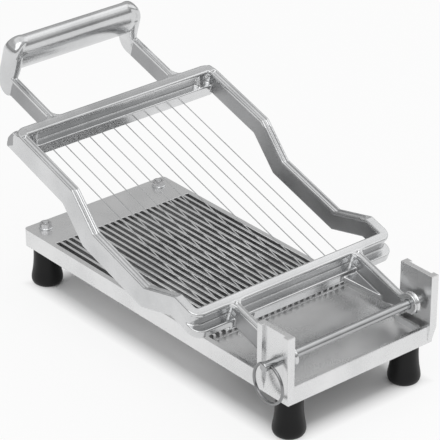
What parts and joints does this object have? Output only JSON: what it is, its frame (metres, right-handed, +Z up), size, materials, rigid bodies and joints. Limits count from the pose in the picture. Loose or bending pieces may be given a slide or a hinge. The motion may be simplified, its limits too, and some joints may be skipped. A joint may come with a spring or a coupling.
{
  "type": "wire butter slicer",
  "caption": "Table-top wire slicer: slotted cast deck with a tray on rubber feet, and a hinged cranked frame strung with parallel wires and lifted by an oval grip.",
  "frame": {"origin": "under the middle of the whole slicer's bounding box, on the surface it stands on", "axes": "+X to the right along the hinge pin, away from the pull ring; +Y from the pivot end to the handle end; +Z up"},
  "size_m": [0.165, 0.3052, 0.1725],
  "materials": {
    "cast_aluminium": "brushed",
    "black_rubber": "matt",
    "zinc_steel": "satin",
    "bright_steel": "polished",
    "stainless_wire": "drawn"
  },
  "bodies": {
    "base": {"base_casting": "cast_aluminium", "foot_front_left": "black_rubber", "foot_front_right": "black_rubber", "foot_rear_left": "black_rubber", "foot_rear_right": "black_rubber", "foot_stud_front_left": "zinc_steel", "foot_stud_front_right": "zinc_steel", "foot_stud_rear_left": "zinc_steel", "foot_stud_rear_right": "zinc_steel", "foot_washers": "zinc_steel", "foot_nuts": "zinc_steel"},
    "pin": {"hinge_pin": "bright_steel"},
    "ring": {"pull_ring": "bright_steel"},
    "frame": {"frame_casting": "cast_aluminium", "wire_01": "stainless_wire", "wire_02": "stainless_wire", "wire_03": "stainless_wire", "wire_04": "stainless_wire", "wire_05": "stainless_wire", "wire_06": "stainless_wire", "wire_07": "stainless_wire", "wire_08": "stainless_wire", "wire_09": "stainless_wire", "wire_10": "stainless_wire", "wire_11": "stainless_wire", "wire_12": "stainless_wire", "wire_ferrules": "zinc_steel", "tension_studs": "zinc_steel", "tension_nuts": "zinc_steel"}
  },
  "joints": [
    {"name": "frame_hinge", "type": "hinge", "parent": "base", "child": "frame", "pos_m": [0, -0.13856, 0.0558], "axis": [1, 0, 0], "range_deg": [-16.5, 87.5]},
    {"name": "pin_pull", "type": "slide", "parent": "base", "child": "pin", "axis": [-1, 0, 0], "range_m": [0, 0.125]},
    {"name": "ring_swing", "type": "hinge", "parent": "pin", "child": "ring", "pos_m": [-0.0668, -0.13856, 0.0558], "axis": [0, 1, 0], "range_deg": [-5, 80]}
  ]
}
